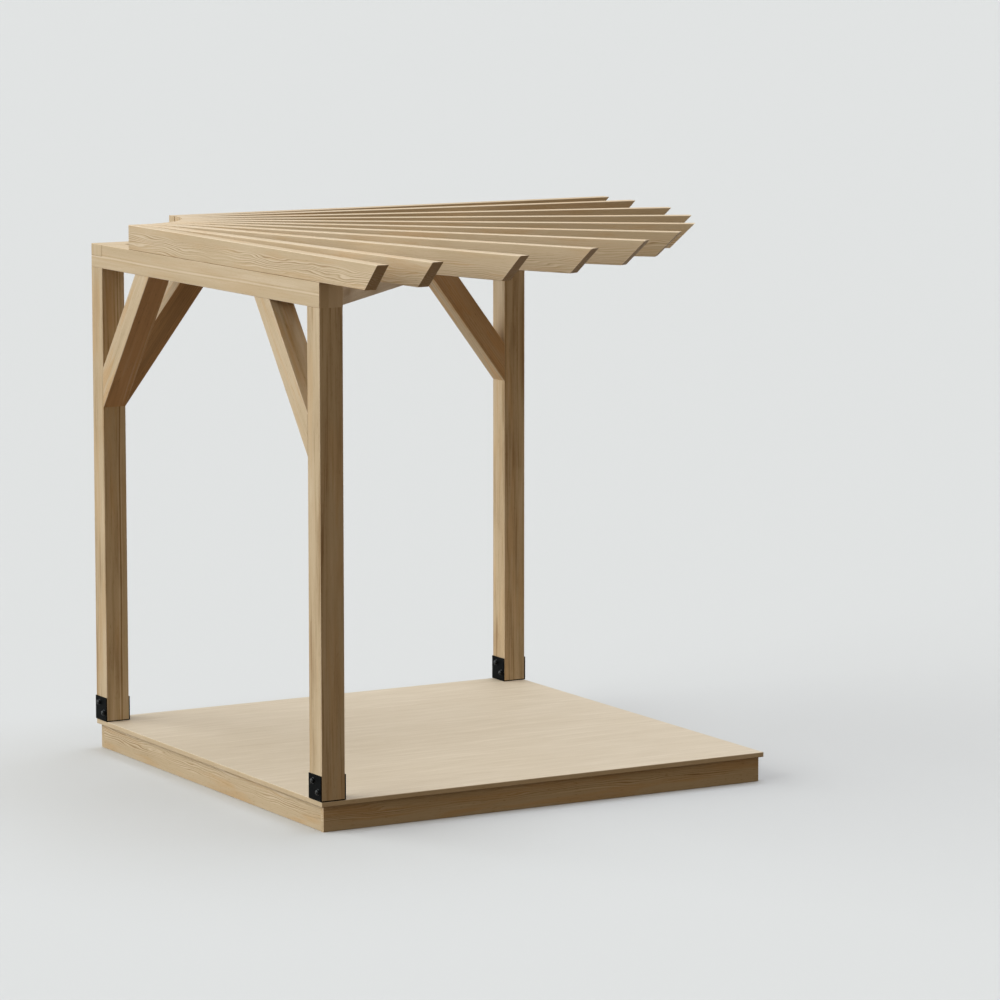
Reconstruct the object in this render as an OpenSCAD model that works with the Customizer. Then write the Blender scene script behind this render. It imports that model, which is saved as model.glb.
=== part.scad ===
// Corner pergola on a square deck: three posts at three corners of the deck, two beams that meet
// over the corner post, a diagonal beam between the two end posts, and a fan of rafters that
// spreads from the corner post over the deck and past its open corner.
// Millimetres. Z is up, the ground is z = 0 and the origin is the middle of the deck's underside.
// The corner post stands at -X +Y, the front post at -X -Y and the back post at +X +Y.

/* [Timber] */
// Radius of the eased long edges of all timbers
arris = 3; // [0.5:0.5:6]

/* [Deck] */
// Side of the square deck, over its top
deck_side = 2400; // [2000:10:3000]
// Thickness of the deck's top
top_t = 24; // [18:1:40]
// How far the deck's top stands past the rim joists
top_overhang = 18; // [0:1:30]
// Height of the rim joists and the inner joists
joist_h = 120; // [90:1:200]
// Thickness of the rim joists
rim_t = 28; // [20:1:70]
// Thickness of the inner joists
joist_t = 45; // [30:1:70]
// Number of inner joists, odd so that one lies on the middle line
joist_n = 5; // [3:2:9]

/* [Post bases] */
// Thickness of the steel
steel_t = 5; // [3:0.5:8]
// Height of the side plates above the deck
plate_h = 120; // [80:1:200]

/* [Posts and beams] */
// Width of the square posts, which is the width of the beams and braces that stand flush with them
post_w = 120; // [90:1:150]
// Length of the posts, from the base plate to the beams
post_l = 2255; // [1900:5:2600]
// Height of the beams
beam_h = 116; // [90:1:200]
// Width of the braces across their slope
brace_w = 120; // [80:1:150]
// Height of the braces' long edge below the beams, at the post
brace_drop = 686; // [450:1:900]
// Reach of the braces' long edge from the post, at the beam
brace_run = 524; // [350:1:700]

/* [Rafters] */
// Length of a rafter along its top
rafter_l = 2520; // [2200:5:3000]
// Height of a rafter
rafter_h = 120; // [80:1:200]
// Thickness of a rafter
rafter_t = 58; // [35:1:70]
// Number of rafters in the fan between the two side rafters
fan_n = 9; // [5:2:11]
// Gap between neighbouring rafters at their inner ends
fan_gap = 6; // [1:0.5:20]
// Slope of the cut at the rafters' outer ends, from the vertical
tip_cut = 45; // [0:1:60]

/* [Hidden] */
$fn = 48;
// Room for the faces that a cut passes through
over = 1;
half = deck_side / 2;
rim_half = half - top_overhang;
rim_l = 2 * rim_half;
joist_l = rim_l - 2 * rim_t;
floor_z = joist_h + top_t;
post_z = floor_z + steel_t;
beam_z = post_z + post_l;
rafter_z = beam_z + beam_h;
post_c = half - post_w / 2;
joist_pitch = (rim_l - rim_t) / (joist_n + 1);
// Length and slope of the braces' long edge, the slope from level
brace_l = sqrt(brace_drop ^ 2 + brace_run ^ 2);
brace_a = atan2(brace_drop, brace_run);
// The rafters' inner ends lie on a circle on which neighbours are fan_gap apart
fan_step = 90 / fan_n;
fan_r = (rafter_t + fan_gap) / (2 * tan(fan_step / 2));
// The fan's axis lies where the first fan rafter clears the side rafter by the same gap
fan_in = rafter_t + fan_gap - cos(fan_step / 2) * fan_gap / 2;
fan_x = fan_in - half;
fan_y = half - fan_in;
oak = [0.80, 0.69, 0.53];
oak_dark = [0.70, 0.58, 0.42];
black_steel = [0.11, 0.12, 0.12];

function two(i) = str(i < 10 ? "0" : "", i);
RIMS = ["left_rim_joist", "right_rim_joist", "front_rim_joist", "back_rim_joist"];
JOISTS = [for (i = [1 : joist_n]) str("inner_joist_", i)];
RAFTERS = [for (i = [1 : fan_n]) str("fan_rafter_", two(i))];

// Section of a timber with eased edges, from its lower left corner
module eased(w, h) {
    translate([arris, 0]) square([w - 2 * arris, h]);
    translate([0, arris]) square([w, h - 2 * arris]);
    for (x = [arris, w - arris], y = [arris, h - arris])
        translate([x, y]) circle(arris);
}

// Timbers of length l along X, Y and Z, of width w and height h, from their lowest corner
module along_x(l, w, h) {
    rotate([90, 0, 90]) linear_extrude(l) eased(w, h);
}

module along_y(l, w, h) {
    translate([0, l, 0]) rotate([90, 0, 0]) linear_extrude(l) eased(w, h);
}

module along_z(l, w, h) {
    linear_extrude(l) eased(w, h);
}

// Block of length l along X with all its edges eased, from its lowest corner
module eased_block(l, w, h) {
    intersection() {
        along_x(l, w, h);
        along_y(w, l, h);
        along_z(h, l, w);
    }
}

module deck_top() {
    color(oak) translate([-half, -half, joist_h]) eased_block(deck_side, deck_side, top_t);
}

// Rim joist along X under the deck's front or back edge, whose ends show at the sides
module long_rim(side) {
    color(oak) translate([-rim_half, side * (rim_half - rim_t / 2) - rim_t / 2, 0])
        along_x(rim_l, rim_t, joist_h);
}

// Rim joist along Y, between the front and back ones
module short_rim(side) {
    color(oak) translate([side * (rim_half - rim_t / 2) - rim_t / 2, -joist_l / 2, 0])
        along_y(joist_l, rim_t, joist_h);
}

module inner_joist(i) {
    x = (i - (joist_n + 1) / 2) * joist_pitch;
    color(oak_dark) translate([x - joist_t / 2, -joist_l / 2, 0]) along_y(joist_l, joist_t, joist_h);
}

// Bent steel shoe: a base under the post and a plate up each of the faces across X
module post_base() {
    color(black_steel) translate([0, post_w / 2, floor_z]) rotate([90, 0, 0])
        linear_extrude(post_w) {
            translate([-post_w / 2, 0]) square([post_w, steel_t]);
            for (side = [0, 1])
                mirror([side, 0]) translate([post_w / 2, steel_t]) {
                    square([steel_t, plate_h - steel_t]);
                    intersection() {
                        circle(steel_t);
                        translate([0, -steel_t]) square(steel_t);
                    }
                }
        }
}

module post() {
    color(oak) translate([-post_w / 2, -post_w / 2, post_z]) along_z(post_l, post_w, post_w);
}

// Beam along X whose first stretch, as long as the beam is wide, keeps one half of its height
module lapped_beam(tongue_z) {
    intersection() {
        union() {
            translate([0, 0, tongue_z]) eased_block(2 * post_w, post_w, beam_h / 2);
            translate([post_w, 0, 0]) eased_block(deck_side, post_w, beam_h);
        }
        cube([deck_side, post_w, beam_h]);
    }
}

// Beam on the corner and front posts. It keeps its lower half at the corner.
module side_beam() {
    color(oak) translate([-half, half, beam_z]) rotate(-90) lapped_beam(0);
}

// Beam on the corner and back posts. It keeps its upper half at the corner.
module back_beam() {
    color(oak) translate([-half, half - post_w, beam_z]) lapped_beam(beam_h / 2);
}

// Beam from the side beam's front end to the back beam's far end, cut to lie against both
module diagonal_beam() {
    face = half - post_w;
    reach = deck_side * sqrt(2);
    color(oak) translate([0, 0, beam_z]) intersection() {
        rotate(45) translate([-reach / 2, -post_w / 2, 0]) along_x(reach, post_w, beam_h);
        translate([-face, -half, -over]) cube([face + half, half + face, beam_h + 2 * over]);
    }
}

// Brace along X from its post's face, cut to lie against the post and under the beam
module brace() {
    color(oak) translate([0, 0, beam_z]) intersection() {
        translate([0, -post_w / 2, -brace_drop]) rotate([0, -brace_a, 0])
            translate([-over, 0, 0]) along_x(brace_l + 2 * over, post_w, brace_w);
        translate([0, -post_w, -brace_drop]) cube([brace_run, 2 * post_w, brace_drop]);
    }
}

module corner_side_brace() {
    translate([-post_c, post_c - post_w / 2, 0]) rotate(-90) brace();
}

module front_brace() {
    translate([-post_c, -post_c + post_w / 2, 0]) rotate(90) brace();
}

module corner_back_brace() {
    translate([-post_c + post_w / 2, post_c, 0]) brace();
}

module back_brace() {
    translate([post_c - post_w / 2, post_c, 0]) rotate(180) brace();
}

// Rafter along X from its inner end, with its outer end cut back below
module rafter() {
    cut = 2 * rafter_h;
    color(oak) translate([0, -rafter_t / 2, rafter_z]) difference() {
        along_x(rafter_l, rafter_t, rafter_h);
        translate([rafter_l, -over, rafter_h]) rotate([0, tip_cut, 0]) translate([0, 0, -cut])
            cube([cut, rafter_t + 2 * over, cut]);
    }
}

// Rafters that lie along the beams, flush with their outer faces
module side_rafter() {
    translate([rafter_t / 2 - half, fan_y - fan_r, 0]) rotate(-90) rafter();
}

module back_rafter() {
    translate([fan_x + fan_r, half - rafter_t / 2, 0]) rafter();
}

// Rafter of the fan, the first one nearest the side beam
module fan_rafter(i) {
    translate([fan_x, fan_y, 0]) rotate((i - 0.5) * fan_step - 90) translate([fan_r, 0, 0]) rafter();
}

deck_top();
short_rim(-1);  // left_rim_joist
short_rim(1);  // right_rim_joist
long_rim(-1);  // front_rim_joist
long_rim(1);  // back_rim_joist
for (i = [1 : joist_n])
    inner_joist(i);
translate([-post_c, post_c, 0]) post_base();  // corner_post_base
translate([-post_c, -post_c, 0]) post_base();  // front_post_base
translate([post_c, post_c, 0]) post_base();  // back_post_base
translate([-post_c, post_c, 0]) post();  // corner_post
translate([-post_c, -post_c, 0]) post();  // front_post
translate([post_c, post_c, 0]) post();  // back_post
side_beam();
back_beam();
diagonal_beam();
corner_side_brace();
front_brace();
corner_back_brace();
back_brace();
side_rafter();
back_rafter();
for (i = [1 : fan_n])
    fan_rafter(i);
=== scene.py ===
"""Looks of a corner pergola on a square deck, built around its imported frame.

The timbers and the steel shoes are the frame's own solids. Each gets a finish whose grain runs along
the piece, and the bolts of the shoes are modelled here. Metres, in the frame's own axes.
"""

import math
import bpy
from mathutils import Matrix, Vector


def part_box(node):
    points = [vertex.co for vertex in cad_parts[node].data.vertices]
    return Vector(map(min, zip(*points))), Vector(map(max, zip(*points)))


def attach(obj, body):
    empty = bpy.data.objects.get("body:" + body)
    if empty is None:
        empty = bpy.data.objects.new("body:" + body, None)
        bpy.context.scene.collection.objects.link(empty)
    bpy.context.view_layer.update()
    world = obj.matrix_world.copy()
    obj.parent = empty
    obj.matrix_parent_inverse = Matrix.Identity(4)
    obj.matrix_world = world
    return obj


bl_info = {
    "name": "Corner Pergola Looks",
    "version": (1, 0, 0),
    "blender": (4, 5, 0),
    "location": "3D View > Sidebar > Pergola",
    "description": "Timber and steel finishes, bolts, stage and camera of a corner pergola",
    "category": "Object",
}

from typing import NamedTuple

import bmesh
import bpy
from bpy.props import FloatProperty, FloatVectorProperty, PointerProperty
from bpy.types import NodeSocket, Operator, Panel, PropertyGroup
from mathutils import Matrix, Vector

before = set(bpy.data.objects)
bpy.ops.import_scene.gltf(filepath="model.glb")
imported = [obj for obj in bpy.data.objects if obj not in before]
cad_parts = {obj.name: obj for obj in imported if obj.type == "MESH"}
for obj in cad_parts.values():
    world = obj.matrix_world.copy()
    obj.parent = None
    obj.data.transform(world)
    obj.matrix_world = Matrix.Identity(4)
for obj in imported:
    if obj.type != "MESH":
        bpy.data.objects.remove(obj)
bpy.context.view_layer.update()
BODY = "root"
POSTS = ("corner_post", "front_post", "back_post")
UP = Vector((0, 0, 1))
EAST = Vector((1, 0, 0))
NORTH = Vector((0, 1, 0))

# Stands for a line or a height that a timber doesn't have
FAR_OFF = 9.0
# How squarely a face looks one way where it begins to count as that side, and where it fully does
FACING = (0.55, 0.75)
# How far a face leans two ways at once where it begins to count as an eased edge, and fully does
EASED = (0.08, 0.35)
# Painted shade in a half lap's joint: how dark it is, measured by how light the beam's eased edges are
LAP_PAINTED_SHADE = 1.3
TIMBER_GLOSS = 0.25
# Sides of a round bolt head or washer, and how far a washer's rims are eased
ROUND = 40
WASHER_EASE = 0.0006
SENSOR_MM = 36

# Where the seeds of each kind of timber start, so that no two timbers share a pattern
DECK_SEED = 1
RIM_SEED = 2
JOIST_SEED = 10
POST_SEED = 20
BEAM_SEED = 30
BRACE_SEED = 40
RAFTER_SEED = 50


def colour(name, description, default):
    """A colour that a user may change, linear."""
    return FloatVectorProperty(
        name=name, description=description, default=default, size=3, min=0, max=1, subtype="COLOR"
    )


def length(name, description, default):
    """A length that a user may change, in metres."""
    return FloatProperty(name=name, description=description, default=default, min=0, unit="LENGTH")


def strength(name, description, default):
    """A light's strength that a user may change."""
    return FloatProperty(name=name, description=description, default=default, min=0)


def angle(name, description, degrees):
    """An angle that a user may change, given here in degrees."""
    return FloatProperty(
        name=name, description=description, default=math.radians(degrees), subtype="ANGLE"
    )


class PergolaTimber(PropertyGroup):
    """Colours and grain of the timber"""

    light: colour("Light", "Light streaks of posts, beams, braces, rafters and rims", (0.66, 0.53, 0.38))
    mean: colour("Mean", "Ground colour of posts, beams, braces, rafters and rims", (0.545, 0.418, 0.268))
    dark: colour("Dark", "Late rings, pores and flecks of those timbers", (0.30, 0.185, 0.09))
    warm: colour("Warm", "Reddish patches of those timbers", (0.54, 0.36, 0.19))
    # Painted shade: the redder colour of the braces' front sides, which lie in shade
    heartwood: colour("Heartwood", "Redder front sides of three braces", (0.53, 0.312, 0.152))
    end: colour("End grain", "Cut ends of all timbers", (0.40, 0.265, 0.125))
    deck_light: colour("Deck light", "Light streaks of the deck's top", (0.695, 0.595, 0.470))
    deck_mean: colour("Deck mean", "Ground colour of the deck's top", (0.595, 0.498, 0.374))
    deck_dark: colour("Deck dark", "Dark streaks of the deck's top", (0.430, 0.322, 0.210))
    pore: length("Pore", "Width of the fine pores along the grain", 0.0007)
    relief: length("Relief", "Depth of the planed grain", 0.0004)


class PergolaSteel(PropertyGroup):
    """Finish of the shoes and sizes of their bolts"""

    coat: colour("Coat", "Black coating of shoes and bolts", (0.0045, 0.005, 0.0052))
    worn: colour("Worn coat", "Rubbed and dusty patches of the coating", (0.010, 0.0105, 0.0105))
    peel: length("Peel", "Depth of the coating's fine peel", 0.0003)
    washer_d: length("Washer", "Diameter of the washers", 0.030)
    washer_t: length("Washer thickness", "Thickness of the washers", 0.0025)
    head_d: length("Head", "Diameter of the domed bolt heads", 0.025)
    head_h: length("Head height", "Height of the domed bolt heads", 0.0125)
    head_side: length("Head side", "Height of the straight side under the dome", 0.0055)
    high_in: length("Upper bolt, in", "Upper bolt from the left plate's front edge", 0.073)
    high_up: length("Upper bolt, up", "Upper bolt above the deck", 0.0905)
    low_in: length("Lower bolt, in", "Lower bolt from the left plate's front edge", 0.023)
    low_up: length("Lower bolt, up", "Lower bolt above the deck", 0.044)


class PergolaStage(PropertyGroup):
    """Floor, light and camera"""

    floor: colour("Floor", "Pale floor as the camera sees it", (0.60, 0.60, 0.595))
    floor_half: length("Floor half", "Half the side of the floor", 150.0)
    bounce: colour("Floor bounce", "How much light the floor throws back up", (0.06, 0.03, 0.008))
    backdrop: colour("Backdrop", "Background behind the floor", (0.70, 0.70, 0.695))
    fill: colour("Fill", "Soft light from all round", (1.0, 0.78, 0.46))
    fill_power: strength("Fill strength", "Strength of that light", 0.285)
    key: colour("Key", "Large soft lamp from the left", (0.945, 1.0, 1.0))
    key_power: strength("Key strength", "Strength of that lamp", 3.85)
    key_turn: angle("Key turn", "That lamp's way round, from +X", 157)
    key_rise: angle("Key rise", "That lamp's height over the floor", 15)
    key_spread: angle("Key spread", "Width of that lamp as seen from the part", 84)
    top: colour("Top", "Large soft lamp overhead", (0.78, 0.87, 1.0))
    top_power: strength("Top strength", "Strength of that lamp", 2.4)
    top_turn: angle("Top turn", "That lamp's way round, from +X", 30)
    top_rise: angle("Top rise", "That lamp's height over the floor", 78)
    top_spread: angle("Top spread", "Width of that lamp as seen from the part", 50)
    eye: FloatVectorProperty(
        name="Camera", description="The camera's place", default=(-11.058, -19.897, 4.504), size=3,
        subtype="TRANSLATION", unit="LENGTH",
    )
    heading: angle("Heading", "The camera's heading, from +X", 60)
    dip: angle("Dip", "How far the camera looks down", 8)
    lens: FloatProperty(name="Lens", description="Focal length", default=170.13, min=1, unit="CAMERA")


class PergolaSettings(PropertyGroup):
    """All settings of the pergola"""

    timber: PointerProperty(type=PergolaTimber)
    steel: PointerProperty(type=PergolaSteel)
    stage: PointerProperty(type=PergolaStage)


class Grain(NamedTuple):
    """How the grain of one kind of timber looks. Lengths in metres, in the timber's own axes."""

    depth: float  # how dark the timber is as a whole
    rings: float  # strength of the growth rings
    pitch: float  # distance between them
    heart: tuple  # the heart's place from the timber's middle, along, across and up
    figure: float  # how far loops push the rings
    streaks: float  # strength of light and dark streaks
    reach: float  # length of those streaks
    flecks: float  # strength of small dark flecks
    bands: float  # strength of narrow dark bands along the timber
    warmth: float  # share of the reddish colour in its patches, which widen past 1
    worn: float  # how much lighter the eased edges are, as wear and as a painted highlight
    plain: float = FAR_OFF  # height above which the rings fade out
    sawn: float = 0.0  # share of the end-grain colour on the outer end
    seam: float = FAR_OFF  # place across of one thin line along the timber
    seam_tone: float = 0.0  # above zero the line is dark, below zero light
    seated: float = 0.0  # how dark the lower eased edges are where they lie on a beam: painted shade
    heartwood: float = 0.0  # share of a redder colour on the front side: painted shade, for the warm shade there
    heart_depth: float = 0.0  # how much darker that side is, also painted shade


POST = Grain(
    depth=0.41, rings=0.20, pitch=0.013, heart=(0, 0.02, 0.11), figure=0.012, streaks=1.3, reach=0.5,
    flecks=0.12, bands=0.32, warmth=0.6, worn=0.3,
)
CORNER_POST = POST._replace(depth=0.38, seam=0.024, seam_tone=0.8)
FRONT_POST = POST._replace(depth=0.45, warmth=0.45)
BEAM = Grain(
    depth=0.31, rings=0.22, pitch=0.011, heart=(0, 0.02, 0.26), figure=0.006, streaks=0.80, reach=0.9,
    flecks=0.08, bands=0.06, warmth=0.25, worn=0.4, seam=0.0, seam_tone=-0.5,
)
# Painted light: the diagonal beam is made lighter than the other beams, so that its face, which the lamps
# leave in shade, looks lit
DIAGONAL_BEAM = BEAM._replace(depth=0.14, seam=FAR_OFF)
# Braces take painted shade, redder and darker, on the sides that face the front
BRACE = Grain(
    depth=0.34, rings=0.26, pitch=0.011, heart=(0, 0.03, 0.12), figure=0.010, streaks=0.9, reach=0.6,
    flecks=0.25, bands=0.12, warmth=1.6, worn=0.3, heartwood=1.0, heart_depth=0.05,
)
FRONT_BRACE = BRACE._replace(depth=0.28, warmth=1.1, heartwood=0.0, heart_depth=0.0)
BACK_BRACE = BRACE._replace(warmth=12, heartwood=0.6, heart_depth=0.07)
CORNER_BACK_BRACE = BRACE._replace(heart_depth=0.40)
RAFTER = Grain(
    depth=0.33, rings=0.62, pitch=0.0095, heart=(0, 0.02, -0.50), figure=0.055, streaks=0.60, reach=0.5,
    flecks=0.08, bands=0.05, warmth=0.5, worn=0.5, plain=0.020, sawn=0.6, seated=1.6,
)
FAN_RAFTER = RAFTER._replace(depth=0.21, rings=0.55, warmth=0.8, worn=0.25, seated=0.0)
RIM = Grain(
    depth=0.40, rings=0.58, pitch=0.0105, heart=(0, 0.02, -0.50), figure=0.060, streaks=0.70, reach=0.6,
    flecks=0.22, bands=0.06, warmth=0.8, worn=0.3, plain=0.008,
)
JOIST = Grain(
    depth=0.38, rings=0.30, pitch=0.010, heart=(0, 0.10, 0.02), figure=0.020, streaks=0.50, reach=0.6,
    flecks=0.20, bands=0.05, warmth=0.5, worn=0.3,
)
DECK = Grain(
    depth=0.34, rings=0.05, pitch=0.030, heart=(0, 0.3, 0.9), figure=0.020, streaks=0.85, reach=0.28,
    flecks=0.04, bands=0.0, warmth=0.0, worn=0.0,
)

TIMBER_COLOURS = ("light", "mean", "dark")
DECK_COLOURS = ("deck_light", "deck_mean", "deck_dark")


def opaque(tint):
    """A colour of the settings as a node takes it."""
    return (*tint, 1.0)


class Weaver:
    """Adds nodes to a tree and joins them, so that a pattern reads as one sum."""

    # Nodes in a column of the editor, and the width and height that each gets there
    ROWS = 5
    WIDTH = 220
    HEIGHT = 260

    def __init__(self, tree):
        self.tree = tree
        self.count = 0

    def feed(self, socket, value):
        """Joins a socket to the value, or sets it."""
        if isinstance(value, NodeSocket):
            self.tree.links.new(value, socket)
        else:
            socket.default_value = value

    def node(self, kind, *values, **attributes):
        """A new node, set down beside the last one, with the values on its first sockets."""
        made = self.tree.nodes.new(kind)
        column, row = divmod(self.count, self.ROWS)
        made.location = (column * self.WIDTH, -row * self.HEIGHT)
        self.count += 1
        for name, value in attributes.items():
            setattr(made, name, value)
        for socket, value in zip(made.inputs, values):
            self.feed(socket, value)
        return made

    def math(self, operation, *values, clamp=False):
        """A number worked out from others."""
        return self.node("ShaderNodeMath", *values, operation=operation, use_clamp=clamp).outputs[0]

    def vector(self, operation, *values):
        """A vector worked out from others."""
        return self.node("ShaderNodeVectorMath", *values, operation=operation).outputs["Vector"]

    def measure(self, operation, *values):
        """A number worked out from vectors."""
        return self.node("ShaderNodeVectorMath", *values, operation=operation).outputs["Value"]

    def join(self, *numbers):
        """A vector from its numbers along, across and up."""
        return self.node("ShaderNodeCombineXYZ", *numbers).outputs[0]

    def split(self, place):
        """A place's numbers along, across and up."""
        return self.node("ShaderNodeSeparateXYZ", place).outputs

    def lay(self, place, middle, turn):
        """Places in a timber's own axes, from its middle."""
        return self.node("ShaderNodeMapping", place, middle, turn, vector_type="TEXTURE").outputs[0]

    def noise(self, place, seed, fineness, detail, vector=False):
        """Noise of its own for each seed, as fine along, across and up as given, per metre."""
        scaled = self.vector("MULTIPLY", place, fineness)
        made = self.node("ShaderNodeTexNoise", scaled, seed, 1.0, detail, noise_dimensions="4D")
        return made.outputs["Color" if vector else "Fac"]

    def step(self, value, start, end):
        """Rises smoothly from 0 at start to 1 at end."""
        made = self.node("ShaderNodeMapRange", value, start, end, interpolation_type="SMOOTHSTEP")
        return made.outputs[0]

    def between(self, share, low, high):
        """Goes evenly from low where the share is 0 to high where it is 1."""
        return self.math("MULTIPLY_ADD", share, high - low, low)

    def swing(self, value, reach):
        """Noise from 0 to 1 as a swing to both sides of zero."""
        return self.math("MULTIPLY", self.math("SUBTRACT", value, 0.5), reach)

    def sum(self, *values):
        """All the values added up."""
        total = values[0]
        for value in values[1:]:
            total = self.math("ADD", total, value)
        return total

    def mix(self, share, first, second, kind="RGBA"):
        """A colour between two, or a place between two with the kind VECTOR."""
        made = self.node("ShaderNodeMix", data_type=kind)
        for name, value in (("Factor", share), ("A", first), ("B", second)):
            self.feed(made.inputs[name], value)
        return made.outputs["Result"]

    def bump(self, height, depth, share, invert=False):
        """The normals of a surface out of which a pattern stands, or into which it is cut."""
        made = self.node("ShaderNodeBump", invert=invert)
        for name, value in (("Strength", share), ("Distance", depth), ("Height", height)):
            self.feed(made.inputs[name], value)
        return made.outputs[0]


GRAIN_GROUP = "timber_grain"
GRAIN_INPUTS = {
    "NodeSocketVector": ("Place", "Heart"),
    "NodeSocketFloat": (
        "End", "Eased", "Seed", "Depth", "Rings", "Pitch", "Figure", "Plain", "Streaks", "Reach", "Flecks",
        "Bands", "Warmth", "Worn", "Sawn", "Heartwood", "Seam", "Seam tone",
    ),
    "NodeSocketColor": ("Light", "Mean", "Warm", "Heartwood tone", "Dark", "End grain"),
}
GRAIN_OUTPUTS = {
    "NodeSocketColor": ("Color",),
    "NodeSocketFloat": ("Roughness",),
    "NodeSocketVector": ("Normal",),
}
# What each pattern of the grain adds to the timber's seed, so that no two of them look alike
PATTERN_SEEDS = {
    "loops": 3.7,
    "streaks": 11.3,
    "fibres": 17.9,
    "pores": 23.1,
    "flecks": 31.7,
    "tone": 41.3,
    "wobble": 47.7,
    "broken": 53.9,
    "patches": 59.3,
    "bands": 61.1,
    "figured": 67.3,
}


def grain_noise(w, given, pattern, place, fineness, detail=1.0):
    """Noise for one of the grain's patterns, with the timber's own seed."""
    seed = w.math("ADD", given["Seed"], PATTERN_SEEDS[pattern])
    return w.noise(place, seed, fineness, detail)


def late_wood(w, given, bent):
    """Growth rings round the heart: above zero in dark late wood, below zero in pale early wood."""
    place = given["Place"]
    spoke = w.vector("MULTIPLY", w.vector("SUBTRACT", bent, given["Heart"]), (0, 1, 1))
    loops = grain_noise(w, given, "loops", place, (3.6, 28, 28), 1.2)
    radius = w.math("ADD", w.measure("LENGTH", spoke), w.swing(loops, given["Figure"]))
    turns = w.math("DIVIDE", radius, given["Pitch"])
    # Each ring begins pale, darkens slowly towards its late wood and ends at once
    part = w.math("FRACT", turns)
    late = w.math("SUBTRACT", w.step(part, 0.58, 0.88), w.step(part, 0.91, 1.0))
    early = w.math("SUBTRACT", w.step(part, 0.0, 0.14), w.step(part, 0.18, 0.50))
    late = w.math("SUBTRACT", late, w.math("MULTIPLY", early, 0.75))
    # No two rings are equally strong
    ring = w.join(w.math("FLOOR", turns), given["Seed"])
    uneven = w.node("ShaderNodeTexWhiteNoise", ring, noise_dimensions="2D").outputs[0]
    late = w.math("MULTIPLY", late, w.between(uneven, 0.3, 1.0))
    # They fade above the plain height, and in stretches of the timber that have little figure
    up = w.split(bent)[2]
    above = w.step(w.math("SUBTRACT", up, given["Plain"]), -0.010, 0.010)
    late = w.math("MULTIPLY", late, w.between(above, 1.0, 0.15))
    figured = w.step(grain_noise(w, given, "figured", place, (1.8, 9, 9)), 0.36, 0.58)
    return w.math("MULTIPLY", late, w.between(figured, 0.35, 1.0))


def seam_line(w, given, bent):
    """One thin line along the timber with flanks of the other tone, a little crooked and broken."""
    across = w.split(bent)[1]
    wobble = w.swing(grain_noise(w, given, "wobble", given["Place"], (3, 0, 0)), 0.004)
    off = w.math("ABSOLUTE", w.math("SUBTRACT", w.math("ADD", across, wobble), given["Seam"]))
    core = w.math("SUBTRACT", 1.0, w.step(off, 0.0006, 0.0050))
    flank = w.math("SUBTRACT", w.step(off, 0.0050, 0.0070), w.step(off, 0.0090, 0.0120))
    line = w.math("SUBTRACT", core, w.math("MULTIPLY", flank, 0.5))
    line = w.math("MULTIPLY", line, w.math("SUBTRACT", 1.0, given["End"]))
    broken = w.step(grain_noise(w, given, "broken", bent, (2.2, 60, 60)), 0.36, 0.60)
    line = w.math("MULTIPLY", line, w.between(broken, 0.4, 1.0))
    return w.math("MULTIPLY", line, given["Seam tone"])


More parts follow.
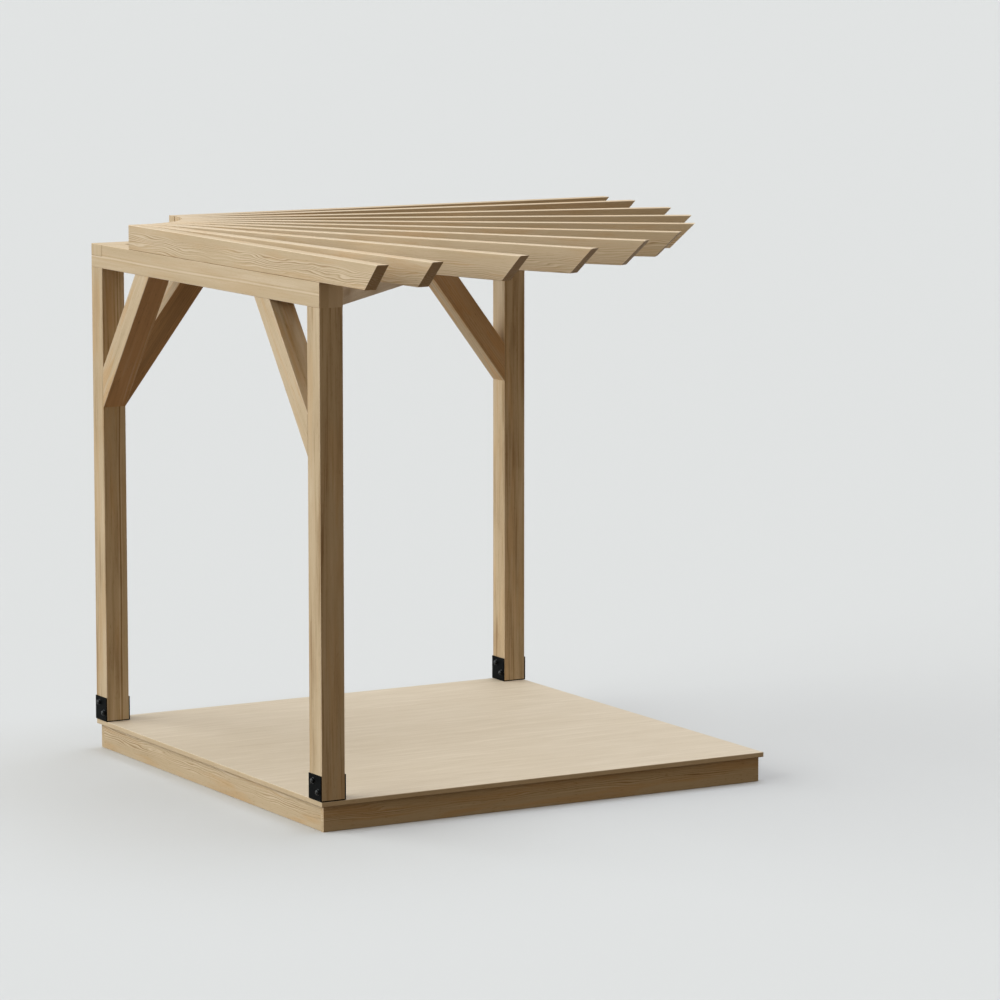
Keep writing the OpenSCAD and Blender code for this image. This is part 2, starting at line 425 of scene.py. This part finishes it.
def timber_group(timber):
    """The node group that every timber shares: from a place in the timber to its colour and relief."""
    if GRAIN_GROUP in bpy.data.node_groups:
        return bpy.data.node_groups[GRAIN_GROUP]
    tree = bpy.data.node_groups.new(GRAIN_GROUP, "ShaderNodeTree")
    for way, sockets in (("INPUT", GRAIN_INPUTS), ("OUTPUT", GRAIN_OUTPUTS)):
        for kind, labels in sockets.items():
            for label in labels:
                tree.interface.new_socket(label, in_out=way, socket_type=kind)
    w = Weaver(tree)
    given = w.node("NodeGroupInput").outputs
    place = given["Place"]
    # The grain wanders slowly as it goes along the timber
    drift = w.noise(place, given["Seed"], (0.9, 3.0, 3.0), 1.0, vector=True)
    drift = w.vector("MULTIPLY", w.vector("SUBTRACT", drift, (0.5, 0.5, 0.5)), (0, 0.028, 0.028))
    bent = w.vector("ADD", place, drift)
    late = late_wood(w, given, bent)
    rings = w.math("MULTIPLY", late, given["Rings"])
    # Streaks, fibres, pores, flecks and bands are all drawn out along the timber
    drawn = w.join(w.math("DIVIDE", 1.0, given["Reach"]), 30.0, 12.0)
    streaks = w.swing(grain_noise(w, given, "streaks", bent, drawn, 3.0), 0.9)
    streaks = w.math("MULTIPLY", streaks, given["Streaks"])
    fibres = w.swing(grain_noise(w, given, "fibres", bent, (7, 330, 330), 3.0), 0.30)
    fine = 0.5 / timber.pore
    pores = grain_noise(w, given, "pores", bent, (28, fine, fine))
    pores = w.math("MULTIPLY", w.step(pores, 0.60, 0.72), 0.22)
    flecks = grain_noise(w, given, "flecks", bent, (34, 165, 165), 1.5)
    flecks = w.math("MULTIPLY", w.step(flecks, 0.62, 0.72), given["Flecks"])
    bands = grain_noise(w, given, "bands", bent, (1.6, 125, 45), 2.0)
    bands = w.math("MULTIPLY", w.step(bands, 0.52, 0.68), given["Bands"])
    tone = w.swing(grain_noise(w, given, "tone", place, (0.5, 4, 4)), 0.22)
    seam = seam_line(w, given, bent)
    depth = w.sum(given["Depth"], rings, streaks, fibres, pores, flecks, bands, tone, seam)
    # The eased edges come out lighter, as wear and as a painted highlight; where Eased is below zero they
    # come out darker, as painted shade
    depth = w.math("SUBTRACT", depth, w.math("MULTIPLY", given["Eased"], given["Worn"]))
    # Light, mean and dark colour go by depth, and the cut ends lie over them
    patches = grain_noise(w, given, "patches", bent, (2.6, 22, 22), 2.0)
    patches = w.math("MULTIPLY", w.step(patches, 0.46, 0.66), given["Warmth"])
    mean = w.mix(patches, given["Mean"], given["Warm"])
    # Painted shade: faces turned to the front take a redder colour, for the warm shade on them
    mean = w.mix(given["Heartwood"], mean, given["Heartwood tone"])
    body = w.mix(w.step(depth, -0.05, 0.40), given["Light"], mean)
    body = w.mix(w.step(depth, 0.34, 1.05), body, given["Dark"])
    ends = w.math("MULTIPLY", given["End"], w.math("MULTIPLY_ADD", late, 0.25, 0.15))
    ends = w.math("ADD", ends, given["Sawn"], clamp=True)
    out = w.node("NodeGroupOutput").inputs
    w.feed(out["Color"], w.mix(ends, body, given["End grain"]))
    w.feed(out["Roughness"], w.math("MULTIPLY_ADD", depth, 0.18, 0.52, clamp=True))
    w.feed(out["Normal"], w.bump(w.sum(rings, fibres, pores), timber.relief, 0.5, invert=True))
    return tree


def clear_nodes(material):
    """A material's tree with nothing in it but a shader that is joined to its output."""
    material.use_nodes = True
    tree = material.node_tree
    tree.nodes.clear()
    w = Weaver(tree)
    shader = w.node("ShaderNodeBsdfPrincipled")
    w.node("ShaderNodeOutputMaterial", shader.outputs[0])
    return w, shader


def dress(piece, material):
    """The material on all of a piece's slots."""
    if not piece.data.materials:
        piece.data.materials.append(material)
    for slot in piece.material_slots:
        slot.material = material


def timber_axes(along, across):
    """A timber's own axes, along it, across it and up."""
    along = along.normalized()
    across = (across - across.dot(along) * along).normalized()
    return along, across, along.cross(across)


def turned(along, across):
    """The turn that lays a pattern's first axis along a timber and its second across it."""
    return Matrix(timber_axes(along, across)).transposed().to_euler()


def eased_edges(w, aside, upward, seated):
    """1 on the rounded edges between a timber's long faces, or below zero on the lower edges of one that
    lies on a beam, where shade is painted.
    """
    edges = w.step(w.math("ABSOLUTE", w.math("MULTIPLY", aside, upward)), *EASED)
    # Painted shade on the lower edges, where the timber lies on a beam
    if seated:
        edges = w.math("MULTIPLY", edges, w.between(w.step(upward, -0.1, 0.1), -seated, 1.0))
    return edges


def lapped_edges(w, ahead, aside, upward):
    """The same on a beam whose far end lies in a half lap, and below zero in the lap's joint, where shade
    is painted.

    The upper edges, on which rafters lie, stay at 0, and the upright edges of the near end count too.
    """
    edges = w.math("ABSOLUTE", w.math("MULTIPLY", aside, upward))
    edges = w.math("MULTIPLY", edges, w.math("SUBTRACT", 1.0, w.step(aside, 0.0, 0.2)))
    upright = w.math("MULTIPLY", ahead, w.math("ABSOLUTE", upward))
    edges = w.math("ADD", edges, w.math("MAXIMUM", w.math("MULTIPLY", upright, -1.0), 0.0))
    under = w.math("MULTIPLY", ahead, w.math("MAXIMUM", w.math("MULTIPLY", aside, -1.0), 0.0))
    # Painted shade along the lap's joint
    joint = w.step(w.math("ADD", upright, under), *EASED)
    return w.math("MULTIPLY_ADD", joint, -LAP_PAINTED_SHADE, w.step(edges, *EASED))


def finish_timber(node, seed, grain, along, across, sheet=False, lipped=False):
    """Gives one timber its own finish, with the grain along it and the seed's own pattern.

    A sheet has the deck's colours on its flat sides and the timbers' on its edges. A lipped piece has
    long grain on its ends too, which runs across, and its far end may lie in a lap.
    """
    timber = bpy.context.scene.pergola.timber
    low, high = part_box(node)
    middle = (low + high) / 2
    material = bpy.data.materials.new(f"{node}_timber")
    w, shader = clear_nodes(material)
    where = w.node("ShaderNodeTexCoord").outputs
    normal = where["Normal"]
    place = w.lay(where["Object"], middle, turned(along, across))
    axes = timber_axes(along, across)
    ahead, aside, upward = [w.measure("DOT_PRODUCT", normal, axis) for axis in axes]
    end = w.step(w.math("ABSOLUTE", ahead), *FACING)
    if lipped:
        strip = w.lay(where["Object"], middle, turned(across, along))
        place = w.mix(end, place, strip, "VECTOR")
        end = 0.0
        edges = lapped_edges(w, ahead, aside, upward)
    else:
        edges = eased_edges(w, aside, upward, grain.seated)
    tones = [opaque(getattr(timber, name)) for name in TIMBER_COLOURS]
    flecks = grain.flecks
    if sheet:
        flat = w.step(w.math("ABSOLUTE", w.measure("DOT_PRODUCT", normal, UP)), *FACING)
        deck_tones = [opaque(getattr(timber, name)) for name in DECK_COLOURS]
        tones = [w.mix(flat, edge, tone) for edge, tone in zip(tones, deck_tones)]
        flecks = w.between(flat, RIM.flecks, grain.flecks)
    light, mean, dark = tones
    # Faces turned to the front, which lie in shade: painted shade makes them darker and redder there
    front = w.step(w.measure("DOT_PRODUCT", normal, -NORTH), *FACING)
    # The group's sockets have the names of the grain's own values, apart from those worked out here
    values = {name.replace("_", " ").capitalize(): value for name, value in grain._asdict().items()}
    values |= {
        "Place": place,
        "End": end,
        "Eased": edges,
        "Seed": seed,
        "Depth": w.math("MULTIPLY_ADD", front, grain.heart_depth, grain.depth),
        "Flecks": flecks,
        "Sawn": w.math("MULTIPLY", w.step(ahead, *FACING), grain.sawn),
        "Heartwood": w.math("MULTIPLY", front, grain.heartwood),
        "Light": light,
        "Mean": mean,
        "Warm": opaque(timber.warm),
        "Heartwood tone": opaque(timber.heartwood),
        "Dark": dark,
        "End grain": opaque(timber.end),
    }
    group = w.node("ShaderNodeGroup", node_tree=timber_group(timber))
    for socket in group.inputs:
        w.feed(socket, values[socket.name])
    w.feed(shader.inputs["Base Color"], group.outputs["Color"])
    w.feed(shader.inputs["Roughness"], group.outputs["Roughness"])
    w.feed(shader.inputs["Normal"], group.outputs["Normal"])
    shader.inputs["Specular IOR Level"].default_value = TIMBER_GLOSS
    dress(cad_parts[node], material)


def steel_finish(name, roughness, gloss):
    """Black coating with a fine peel and slightly rubbed patches."""
    if name in bpy.data.materials:
        return bpy.data.materials[name]
    steel = bpy.context.scene.pergola.steel
    material = bpy.data.materials.new(name)
    w, shader = clear_nodes(material)
    place = w.node("ShaderNodeTexCoord").outputs["Object"]
    patches = w.noise(place, seed=2.0, fineness=(22, 22, 22), detail=4.0)
    peel = w.noise(place, seed=5.0, fineness=(900, 900, 900), detail=2.0)
    rubbed = w.math("MULTIPLY", w.step(patches, 0.50, 0.72), 0.8)
    w.feed(shader.inputs["Base Color"], w.mix(rubbed, opaque(steel.coat), opaque(steel.worn)))
    w.feed(shader.inputs["Roughness"], w.math("MULTIPLY_ADD", patches, 0.22, roughness))
    w.feed(shader.inputs["Normal"], w.bump(peel, steel.peel, 0.25))
    shader.inputs["Specular IOR Level"].default_value = gloss
    return material


def new_piece(name, mesh):
    """A new object in the scene from a finished bmesh, which is freed."""
    data = bpy.data.meshes.new(name)
    mesh.to_mesh(data)
    mesh.free()
    piece = bpy.data.objects.new(name, data)
    bpy.context.scene.collection.objects.link(piece)
    return piece


def nodes_named(start):
    """The frame's nodes whose names start so, in order."""
    return sorted(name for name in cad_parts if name.startswith(start))


class PERGOLA_OT_deck(Operator):
    """Finish the deck's top, its rim and its joists"""

    bl_idname = "pergola.deck"
    bl_label = "Deck"

    def execute(self, context):
        finish_timber("deck_top", DECK_SEED, DECK, EAST, NORTH, sheet=True, lipped=True)
        rims = {
            "front_rim_joist": (EAST, -NORTH),
            "back_rim_joist": (-EAST, NORTH),
            "left_rim_joist": (NORTH, EAST),
            "right_rim_joist": (-NORTH, -EAST),
        }
        for seed, (name, (along, across)) in enumerate(rims.items(), start=RIM_SEED):
            finish_timber(name, seed, RIM, along, across)
        for seed, name in enumerate(nodes_named("inner_joist"), start=JOIST_SEED):
            finish_timber(name, seed, JOIST, NORTH, EAST)
        return {"FINISHED"}


class PERGOLA_OT_posts(Operator):
    """Finish the three posts"""

    bl_idname = "pergola.posts"
    bl_label = "Posts"

    def execute(self, context):
        grains = (CORNER_POST, FRONT_POST, POST)
        for seed, (name, grain) in enumerate(zip(POSTS, grains), start=POST_SEED):
            finish_timber(name, seed, grain, UP, EAST)
        return {"FINISHED"}


class PERGOLA_OT_beams(Operator):
    """Finish the side, back and diagonal beams"""

    bl_idname = "pergola.beams"
    bl_label = "Beams"

    def execute(self, context):
        finish_timber("side_beam", BEAM_SEED, BEAM, NORTH, UP, lipped=True)
        finish_timber("back_beam", BEAM_SEED + 1, BEAM, -EAST, UP, lipped=True)
        finish_timber("diagonal_beam", BEAM_SEED + 2, DIAGONAL_BEAM, EAST + NORTH, UP)
        return {"FINISHED"}


class PERGOLA_OT_braces(Operator):
    """Finish the four braces"""

    bl_idname = "pergola.braces"
    bl_label = "Braces"

    def execute(self, context):
        rising = {
            "corner_side_brace": (-NORTH, BRACE),
            "front_brace": (NORTH, FRONT_BRACE),
            "corner_back_brace": (EAST, CORNER_BACK_BRACE),
            "back_brace": (-EAST, BACK_BRACE),
        }
        for seed, (name, (way, grain)) in enumerate(rising.items(), start=BRACE_SEED):
            low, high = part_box(name)
            size = high - low
            slope = way * abs(way.dot(size)) + UP * size.z
            finish_timber(name, seed, grain, slope, way.cross(UP))
        return {"FINISHED"}


class PERGOLA_OT_rafters(Operator):
    """Finish the two side rafters and the fan between them"""

    bl_idname = "pergola.rafters"
    bl_label = "Rafters"

    def execute(self, context):
        fan = nodes_named("fan_rafter")
        step = math.pi / 2 / len(fan)
        turns = {name: (count + 0.5) * step - math.pi / 2 for count, name in enumerate(fan)}
        turns = {"side_rafter": -math.pi / 2, **turns, "back_rafter": 0.0}
        for seed, (name, turn) in enumerate(turns.items(), start=RAFTER_SEED):
            along = Vector((math.cos(turn), math.sin(turn), 0))
            grain = FAN_RAFTER if name in fan else RAFTER
            finish_timber(name, seed, grain, along, UP.cross(along))
        return {"FINISHED"}


class PERGOLA_OT_shoes(Operator):
    """Finish the steel shoes under the posts"""

    bl_idname = "pergola.shoes"
    bl_label = "Steel shoes"

    def execute(self, context):
        finish = steel_finish("satin_black_shoe", roughness=0.34, gloss=0.012)
        for post in POSTS:
            dress(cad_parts[f"{post}_base"], finish)
        return {"FINISHED"}


def add_washer(mesh, steel, stand):
    """A round washer with eased rims, flat on its plate."""
    lift = Matrix.Translation((0, 0, steel.washer_t / 2))
    washer = bmesh.ops.create_cone(
        mesh, cap_ends=True, segments=ROUND, radius1=steel.washer_d / 2, radius2=steel.washer_d / 2,
        depth=steel.washer_t, matrix=stand @ lift,
    )
    corners = set(washer["verts"])
    edges = [edge for edge in mesh.edges if corners.issuperset(edge.verts)]
    rims = [edge for edge in edges if edge.calc_face_angle() > math.radians(60)]
    bmesh.ops.bevel(
        mesh, geom=rims, offset=WASHER_EASE, offset_type="OFFSET", segments=2, profile=0.5,
        affect="EDGES", material=-1,
    )


def add_head(mesh, steel, stand):
    """A domed bolt head with a short straight side, on its washer."""
    dome = bmesh.new()
    bmesh.ops.create_uvsphere(dome, u_segments=ROUND, v_segments=ROUND // 2, radius=1)
    bmesh.ops.bisect_plane(
        dome, geom=dome.verts[:] + dome.edges[:] + dome.faces[:], plane_co=(0, 0, 0), plane_no=UP,
        clear_inner=True,
    )
    lip = bmesh.ops.extrude_edge_only(dome, edges=[edge for edge in dome.edges if edge.is_boundary])
    skirt = [item for item in lip["geom"] if isinstance(item, bmesh.types.BMVert)]
    crown = steel.head_h - steel.head_side
    side = steel.head_side / crown
    bmesh.ops.translate(dome, verts=skirt, vec=(0, 0, -side))
    bmesh.ops.holes_fill(dome, edges=[edge for edge in dome.edges if edge.is_boundary])
    bmesh.ops.translate(dome, verts=dome.verts, vec=(0, 0, side))
    lift = Matrix.Translation((0, 0, steel.washer_t))
    size = Matrix.Diagonal((steel.head_d / 2, steel.head_d / 2, crown, 1))
    bmesh.ops.transform(dome, matrix=stand @ lift @ size, verts=dome.verts)
    bmesh.ops.recalc_face_normals(dome, faces=dome.faces)
    head = bpy.data.meshes.new("head")
    dome.to_mesh(head)
    dome.free()
    mesh.from_mesh(head)
    bpy.data.meshes.remove(head)


class PERGOLA_OT_bolts(Operator):
    """Model the bolts on the plates of the shoes"""

    bl_idname = "pergola.bolts"
    bl_label = "Bolts"

    def execute(self, context):
        steel = context.scene.pergola.steel
        for post in POSTS:
            low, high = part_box(f"{post}_base")
            mesh = bmesh.new()
            # The right plate is the left one turned half round, so that the bolts miss each other
            for corner, outward in (((low.x, low.y), -EAST), ((high.x, high.y), EAST)):
                turn = outward.to_track_quat("Z", "Y").to_matrix().to_4x4()
                for inward, upward in ((steel.high_in, steel.high_up), (steel.low_in, steel.low_up)):
                    foot = Vector((*corner, low.z)) + inward * outward.cross(UP) + upward * UP
                    stand = Matrix.Translation(foot) @ turn
                    add_washer(mesh, steel, stand)
                    add_head(mesh, steel, stand)
            piece = new_piece(f"{post}_bolts", mesh)
            piece.data.shade_smooth()
            piece.data.set_sharp_from_angle(angle=math.radians(40))
            dress(piece, steel_finish("black_bolt", roughness=0.12, gloss=0.20))
            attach(piece, BODY)
        return {"FINISHED"}


def seen(w):
    """1 for rays that show the stage itself, 0 for those that carry its light to the part."""
    path = w.node("ShaderNodeLightPath").outputs
    total = w.math("ADD", path["Is Camera Ray"], path["Is Glossy Ray"])
    return w.math("ADD", total, path["Is Transmission Ray"], clamp=True)


def pointing(turn, rise):
    """The direction that is turned from +X and raised from level."""
    return Vector((math.cos(turn) * math.cos(rise), math.sin(turn) * math.cos(rise), math.sin(rise)))


def add_floor(stage):
    """The floor, whose colour as it is seen differs from the light that it throws back."""
    mesh = bmesh.new()
    bmesh.ops.create_grid(mesh, x_segments=1, y_segments=1, size=stage.floor_half)
    floor = new_piece("studio_floor", mesh)
    material = bpy.data.materials.new("studio_floor")
    w, shader = clear_nodes(material)
    w.feed(shader.inputs["Base Color"], w.mix(seen(w), opaque(stage.bounce), opaque(stage.floor)))
    shader.inputs["Roughness"].default_value = 0.9
    shader.inputs["Specular IOR Level"].default_value = 0.1
    dress(floor, material)


def add_world(scene, stage):
    """Soft light from all round, and the backdrop that is seen in its place."""
    scene.world = bpy.data.worlds.new("studio")
    scene.world.use_nodes = True
    tree = scene.world.node_tree
    tree.nodes.clear()
    w = Weaver(tree)
    fill = w.node("ShaderNodeBackground", opaque(stage.fill), stage.fill_power)
    shown = w.node("ShaderNodeBackground", opaque(stage.backdrop))
    both = w.node("ShaderNodeMixShader", seen(w), fill.outputs[0], shown.outputs[0])
    w.node("ShaderNodeOutputWorld", both.outputs[0])


def add_lamp(scene, name, tint, power, spread, towards):
    """A far lamp of that width, seen from the part towards it."""
    lamp = bpy.data.lights.new(name, "SUN")
    lamp.color = tint
    lamp.energy = power
    lamp.angle = spread
    holder = bpy.data.objects.new(name, lamp)
    holder.rotation_euler = towards.to_track_quat("Z", "Y").to_euler()
    scene.collection.objects.link(holder)


def add_camera(scene, stage):
    """The camera at its place, which looks along its heading and a little down."""
    lens = bpy.data.cameras.new("camera")
    lens.sensor_width = SENSOR_MM
    lens.lens = stage.lens
    lens.clip_end = 4 * stage.floor_half
    camera = bpy.data.objects.new("camera", lens)
    camera.location = stage.eye
    camera.rotation_euler = pointing(stage.heading, -stage.dip).to_track_quat("-Z", "Y").to_euler()
    scene.collection.objects.link(camera)
    scene.camera = camera


class PERGOLA_OT_stage(Operator):
    """Set the floor, the light and the camera"""

    bl_idname = "pergola.stage"
    bl_label = "Stage"

    def execute(self, context):
        scene = context.scene
        stage = scene.pergola.stage
        add_floor(stage)
        add_world(scene, stage)
        towards = pointing(stage.key_turn, stage.key_rise)
        add_lamp(scene, "left_lamp", stage.key, stage.key_power, stage.key_spread, towards)
        towards = pointing(stage.top_turn, stage.top_rise)
        add_lamp(scene, "top_lamp", stage.top, stage.top_power, stage.top_spread, towards)
        add_camera(scene, stage)
        scene.view_settings.view_transform = "Standard"
        return {"FINISHED"}


OPERATORS = (
    PERGOLA_OT_deck,
    PERGOLA_OT_posts,
    PERGOLA_OT_beams,
    PERGOLA_OT_braces,
    PERGOLA_OT_rafters,
    PERGOLA_OT_shoes,
    PERGOLA_OT_bolts,
    PERGOLA_OT_stage,
)


class PERGOLA_PT_panel(Panel):
    """Settings and steps of the pergola"""

    bl_idname = "PERGOLA_PT_panel"
    bl_label = "Pergola"
    bl_space_type = "VIEW_3D"
    bl_region_type = "UI"
    bl_category = "Pergola"

    def draw(self, context):
        pergola = context.scene.pergola
        for group in (pergola.timber, pergola.steel, pergola.stage):
            box = self.layout.box()
            for name in group.__annotations__:
                box.prop(group, name)
        for operator in OPERATORS:
            self.layout.operator(operator.bl_idname)


CLASSES = (PergolaTimber, PergolaSteel, PergolaStage, PergolaSettings, *OPERATORS, PERGOLA_PT_panel)


def register():
    """Adds the classes and the scene's settings."""
    for cls in CLASSES:
        bpy.utils.register_class(cls)
    bpy.types.Scene.pergola = PointerProperty(type=PergolaSettings)


def unregister():
    """Takes them away again."""
    del bpy.types.Scene.pergola
    for cls in reversed(CLASSES):
        bpy.utils.unregister_class(cls)


def main():
    """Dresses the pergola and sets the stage."""
    register()
    bpy.ops.pergola.deck()
    bpy.ops.pergola.posts()
    bpy.ops.pergola.beams()
    bpy.ops.pergola.braces()
    bpy.ops.pergola.rafters()
    bpy.ops.pergola.shoes()
    bpy.ops.pergola.bolts()
    bpy.ops.pergola.stage()


if __name__ == "__main__":
    main()
